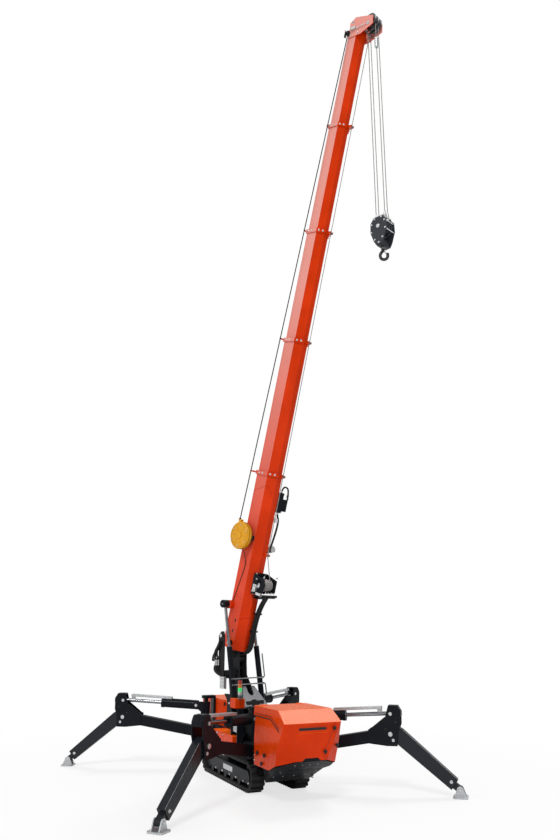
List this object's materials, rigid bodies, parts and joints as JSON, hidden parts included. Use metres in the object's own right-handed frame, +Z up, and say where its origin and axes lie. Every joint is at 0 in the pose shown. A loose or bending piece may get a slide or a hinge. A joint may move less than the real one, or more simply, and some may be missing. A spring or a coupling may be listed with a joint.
{
  "type": "crawler crane",
  "caption": "Compact tracked crane on folding outrigger legs, with a slewing turret, telescopic boom and hook block.",
  "frame": {"origin": "on the ground, at the middle of the box around the crane as it stands", "axes": "+X towards the engine hood, +Y to the machine's left, +Z up"},
  "size_m": [4.7801, 4.4786, 11.3446],
  "materials": {
    "orange_paint": "gloss",
    "black_paint": "satin",
    "track_rubber": "matte",
    "chrome": "polished",
    "zinc_steel": "galvanised",
    "machined_steel": "oiled",
    "rope_steel": "greased",
    "grey_paint": "satin",
    "white_paint": "satin",
    "yellow_plastic": "satin",
    "lamp_plastic": "gloss",
    "engine_iron": "painted casting"
  },
  "bodies": {
    "chassis": {"chassis_frame": "black_paint", "track_left": "track_rubber", "track_right": "track_rubber", "track_frame_left": "black_paint", "track_frame_right": "black_paint", "hood_body": "orange_paint", "engine_rails": "black_paint", "engine_block": "engine_iron", "front_belly": "black_paint", "rear_cover": "orange_paint", "side_boxes": "orange_paint", "valve_cover": "orange_paint", "stack_light": "lamp_plastic", "slew_ring": "machined_steel"},
    "hood_lid": {"hood_lid": "orange_paint"},
    "turret": {"turret_frame": "black_paint", "guard_rails": "chrome"},
    "lift_barrels": {"lift_barrels": "black_paint"},
    "lift_rods": {"lift_rods": "chrome"},
    "boom_base": {"boom_base": "orange_paint", "winch_frame": "black_paint", "cable_reel": "yellow_plastic", "work_light": "lamp_plastic"},
    "winch_drum": {"winch_drum": "black_paint"},
    "boom_section_2": {"boom_section_2": "orange_paint"},
    "boom_section_3": {"boom_section_3": "orange_paint"},
    "boom_section_4": {"boom_section_4": "orange_paint"},
    "boom_section_5": {"boom_section_5": "orange_paint"},
    "head_sheaves": {"head_sheaves": "machined_steel"},
    "hoist_falls": {"hoist_ropes": "rope_steel", "limit_weight": "white_paint"},
    "hook_block": {"hook_block": "grey_paint"},
    "hook": {"hook": "machined_steel"},
    "leg_post_front_left": {"leg_post_front_left": "black_paint"},
    "leg_arm_front_left": {"leg_arm_front_left": "black_paint"},
    "leg_barrel_front_left": {"leg_barrel_front_left": "black_paint"},
    "leg_rod_front_left": {"leg_rod_front_left": "chrome"},
    "leg_lower_front_left": {"leg_lower_front_left": "black_paint"},
    "foot_front_left": {"foot_front_left": "zinc_steel"},
    "leg_post_front_right": {"leg_post_front_right": "black_paint"},
    "leg_arm_front_right": {"leg_arm_front_right": "black_paint"},
    "leg_barrel_front_right": {"leg_barrel_front_right": "black_paint"},
    "leg_rod_front_right": {"leg_rod_front_right": "chrome"},
    "leg_lower_front_right": {"leg_lower_front_right": "black_paint"},
    "foot_front_right": {"foot_front_right": "zinc_steel"},
    "leg_post_rear_left": {"leg_post_rear_left": "black_paint"},
    "leg_arm_rear_left": {"leg_arm_rear_left": "black_paint"},
    "leg_barrel_rear_left": {"leg_barrel_rear_left": "black_paint"},
    "leg_rod_rear_left": {"leg_rod_rear_left": "chrome"},
    "leg_lower_rear_left": {"leg_lower_rear_left": "black_paint"},
    "foot_rear_left": {"foot_rear_left": "zinc_steel"},
    "leg_post_rear_right": {"leg_post_rear_right": "black_paint"},
    "leg_arm_rear_right": {"leg_arm_rear_right": "black_paint"},
    "leg_barrel_rear_right": {"leg_barrel_rear_right": "black_paint"},
    "leg_rod_rear_right": {"leg_rod_rear_right": "chrome"},
    "leg_lower_rear_right": {"leg_lower_rear_right": "black_paint"},
    "foot_rear_right": {"foot_rear_right": "zinc_steel"}
  },
  "joints": [
    {"name": "slew", "type": "hinge", "parent": "chassis", "child": "turret", "pos_m": [-0.15, 0, 0.66], "axis": [0, 0, 1], "continuous": true},
    {"name": "hood_lid_hinge", "type": "hinge", "parent": "chassis", "child": "hood_lid", "pos_m": [0.834, 0, 1.028], "axis": [0, -1, 0], "range_deg": [0, 55]},
    {"name": "luff", "type": "hinge", "parent": "turret", "child": "boom_base", "pos_m": [-0.42816, -0.11238, 1.78], "axis": [0.3746, -0.9272, 0], "range_deg": [-74.5, 1.5]},
    {"name": "lift_barrel_swing", "type": "hinge", "parent": "turret", "child": "lift_barrels", "pos_m": [-0.22418, -0.02997, 0.96], "axis": [0.3746, -0.9272, 0], "range_deg": [-28, 1.2]},
    {"name": "lift_rod_slide", "type": "slide", "parent": "lift_barrels", "child": "lift_rods", "axis": [-0.1614, -0.0652, 0.9847], "range_m": [-0.37, 0.02]},
    {"name": "extend_2", "type": "slide", "parent": "boom_base", "child": "boom_section_2", "axis": [0.2478, 0.1001, 0.9636], "range_m": [-1.85, 0]},
    {"name": "extend_3", "type": "slide", "parent": "boom_section_2", "child": "boom_section_3", "axis": [0.2478, 0.1001, 0.9636], "range_m": [-1.45, 0]},
    {"name": "extend_4", "type": "slide", "parent": "boom_section_3", "child": "boom_section_4", "axis": [0.2478, 0.1001, 0.9636], "range_m": [-1.45, 0]},
    {"name": "extend_5", "type": "slide", "parent": "boom_section_4", "child": "boom_section_5", "axis": [0.2478, 0.1001, 0.9636], "range_m": [-1.45, 0]},
    {"name": "winch_turn", "type": "hinge", "parent": "boom_base", "child": "winch_drum", "pos_m": [0.05395, 0.0824, 2.56977], "axis": [0.3746, -0.9272, 0], "continuous": true},
    {"name": "sheave_turn", "type": "hinge", "parent": "boom_section_5", "child": "head_sheaves", "pos_m": [2.22149, 0.95815, 11.07433], "axis": [0.3746, -0.9272, 0], "continuous": true},
    {"name": "hook_hang", "type": "hinge", "parent": "boom_section_5", "child": "hoist_falls", "pos_m": [2.22149, 0.95815, 11.07433], "axis": [0.3746, -0.9272, 0], "range_deg": [-2, 75]},
    {"name": "hoist", "type": "slide", "parent": "hoist_falls", "child": "hook_block", "axis": [0, 0, -1], "range_m": [-2.75, 6.5], "deforming": ["hoist_ropes"]},
    {"name": "hook_swivel", "type": "hinge", "parent": "hook_block", "child": "hook", "pos_m": [2.22149, 0.95815, 7.1], "axis": [0, 0, 1], "continuous": true},
    {"name": "leg_swing_front_left", "type": "hinge", "parent": "chassis", "child": "leg_post_front_left", "pos_m": [0.61, 0.3, 0.69], "axis": [0, 0, -1], "range_deg": [-40.7, 14.3]},
    {"name": "leg_lift_front_left", "type": "hinge", "parent": "leg_post_front_left", "child": "leg_arm_front_left", "pos_m": [0.68824, 0.39098, 0.55], "axis": [-0.7582, 0.652, 0], "range_deg": [-35, 0]},
    {"name": "leg_barrel_swing_front_left", "type": "hinge", "parent": "leg_post_front_left", "child": "leg_barrel_front_left", "pos_m": [0.70128, 0.40615, 0.86], "axis": [-0.7582, 0.652, 0], "range_deg": [-40.13, 0.5]},
    {"name": "leg_rod_slide_front_left", "type": "slide", "parent": "leg_barrel_front_left", "child": "leg_rod_front_left", "axis": [0.6509, 0.7569, 0.0593], "range_m": [-0.1697, 0.003]},
    {"name": "leg_fold_front_left", "type": "hinge", "parent": "leg_arm_front_left", "child": "leg_lower_front_left", "pos_m": [1.43155, 1.25533, 0.69], "axis": [0.7582, -0.652, 0], "range_deg": [-58, 0]},
    {"name": "foot_tilt_front_left", "type": "hinge", "parent": "leg_lower_front_left", "child": "foot_front_left", "pos_m": [1.961, 1.87098, 0.088], "axis": [0.7582, -0.652, 0], "range_deg": [-20, 20]},
    {"name": "leg_swing_front_right", "type": "hinge", "parent": "chassis", "child": "leg_post_front_right", "pos_m": [0.61, -0.3, 0.69], "axis": [0, 0, 1], "range_deg": [-40.7, 14.3]},
    {"name": "leg_lift_front_right", "type": "hinge", "parent": "leg_post_front_right", "child": "leg_arm_front_right", "pos_m": [0.68824, -0.39098, 0.55], "axis": [0.7582, 0.652, 0], "range_deg": [-35, 0]},
    {"name": "leg_barrel_swing_front_right", "type": "hinge", "parent": "leg_post_front_right", "child": "leg_barrel_front_right", "pos_m": [0.70128, -0.40615, 0.86], "axis": [0.7582, 0.652, 0], "range_deg": [-40.13, 0.5]},
    {"name": "leg_rod_slide_front_right", "type": "slide", "parent": "leg_barrel_front_right", "child": "leg_rod_front_right", "axis": [0.6509, -0.7569, 0.0593], "range_m": [-0.1697, 0.003]},
    {"name": "leg_fold_front_right", "type": "hinge", "parent": "leg_arm_front_right", "child": "leg_lower_front_right", "pos_m": [1.43155, -1.25533, 0.69], "axis": [-0.7582, -0.652, 0], "range_deg": [-58, 0]},
    {"name": "foot_tilt_front_right", "type": "hinge", "parent": "leg_lower_front_right", "child": "foot_front_right", "pos_m": [1.961, -1.87098, 0.088], "axis": [-0.7582, -0.652, 0], "range_deg": [-20, 20]},
    {"name": "leg_swing_rear_left", "type": "hinge", "parent": "chassis", "child": "leg_post_rear_left", "pos_m": [-1.288, 0.3, 0.69], "axis": [0, 0, -1], "range_deg": [-26.99, 28.01]},
    {"name": "leg_lift_rear_left", "type": "hinge", "parent": "leg_post_rear_left", "child": "leg_arm_rear_left", "pos_m": [-1.34435, 0.40595, 0.55], "axis": [-0.8829, -0.4696, 0], "range_deg": [-35, 0]},
    {"name": "leg_barrel_swing_rear_left", "type": "hinge", "parent": "leg_post_rear_left", "child": "leg_barrel_rear_left", "pos_m": [-1.35374, 0.4236, 0.86], "axis": [-0.8829, -0.4696, 0], "range_deg": [-40.13, 0.5]},
    {"name": "leg_rod_slide_rear_left", "type": "slide", "parent": "leg_barrel_rear_left", "child": "leg_rod_rear_left", "axis": [-0.4688, 0.8813, 0.0593], "range_m": [-0.1697, 0.003]},
    {"name": "leg_fold_rear_left", "type": "hinge", "parent": "leg_arm_rear_left", "child": "leg_lower_rear_left", "pos_m": [-1.87969, 1.41243, 0.69], "axis": [0.8829, 0.4696, 0], "range_deg": [-58, 0]},
    {"name": "foot_tilt_rear_left", "type": "hinge", "parent": "leg_lower_rear_left", "child": "foot_rear_left", "pos_m": [-2.261, 2.12933, 0.088], "axis": [0.8829, 0.4696, 0], "range_deg": [-20, 20]},
    {"name": "leg_swing_rear_right", "type": "hinge", "parent": "chassis", "child": "leg_post_rear_right", "pos_m": [-1.288, -0.3, 0.69], "axis": [0, 0, 1], "range_deg": [-26.99, 28.01]},
    {"name": "leg_lift_rear_right", "type": "hinge", "parent": "leg_post_rear_right", "child": "leg_arm_rear_right", "pos_m": [-1.34435, -0.40595, 0.55], "axis": [0.8829, -0.4696, 0], "range_deg": [-35, 0]},
    {"name": "leg_barrel_swing_rear_right", "type": "hinge", "parent": "leg_post_rear_right", "child": "leg_barrel_rear_right", "pos_m": [-1.35374, -0.4236, 0.86], "axis": [0.8829, -0.4696, 0], "range_deg": [-40.13, 0.5]},
    {"name": "leg_rod_slide_rear_right", "type": "slide", "parent": "leg_barrel_rear_right", "child": "leg_rod_rear_right", "axis": [-0.4688, -0.8813, 0.0593], "range_m": [-0.1697, 0.003]},
    {"name": "leg_fold_rear_right", "type": "hinge", "parent": "leg_arm_rear_right", "child": "leg_lower_rear_right", "pos_m": [-1.87969, -1.41243, 0.69], "axis": [-0.8829, 0.4696, 0], "range_deg": [-58, 0]},
    {"name": "foot_tilt_rear_right", "type": "hinge", "parent": "leg_lower_rear_right", "child": "foot_rear_right", "pos_m": [-2.261, -2.12933, 0.088], "axis": [-0.8829, 0.4696, 0], "range_deg": [-20, 20]}
  ],
  "couplings": [
    {"joint": "lift_barrel_swing", "follows": "luff", "ratio": 0.35856},
    {"joint": "lift_rod_slide", "follows": "luff", "m_per_rad": 0.27218},
    {"joint": "extend_4", "follows": "extend_3", "ratio": 1},
    {"joint": "extend_5", "follows": "extend_3", "ratio": 1},
    {"joint": "hook_hang", "follows": "luff", "ratio": -1},
    {"joint": "leg_barrel_swing_front_left", "follows": "leg_lift_front_left", "ratio": 1.1323},
    {"joint": "leg_rod_slide_front_left", "follows": "leg_lift_front_left", "m_per_rad": 0.27295},
    {"joint": "leg_barrel_swing_front_right", "follows": "leg_lift_front_right", "ratio": 1.1323},
    {"joint": "leg_rod_slide_front_right", "follows": "leg_lift_front_right", "m_per_rad": 0.27295},
    {"joint": "leg_barrel_swing_rear_left", "follows": "leg_lift_rear_left", "ratio": 1.1323},
    {"joint": "leg_rod_slide_rear_left", "follows": "leg_lift_rear_left", "m_per_rad": 0.27295},
    {"joint": "leg_barrel_swing_rear_right", "follows": "leg_lift_rear_right", "ratio": 1.1323},
    {"joint": "leg_rod_slide_rear_right", "follows": "leg_lift_rear_right", "m_per_rad": 0.27295}
  ]
}
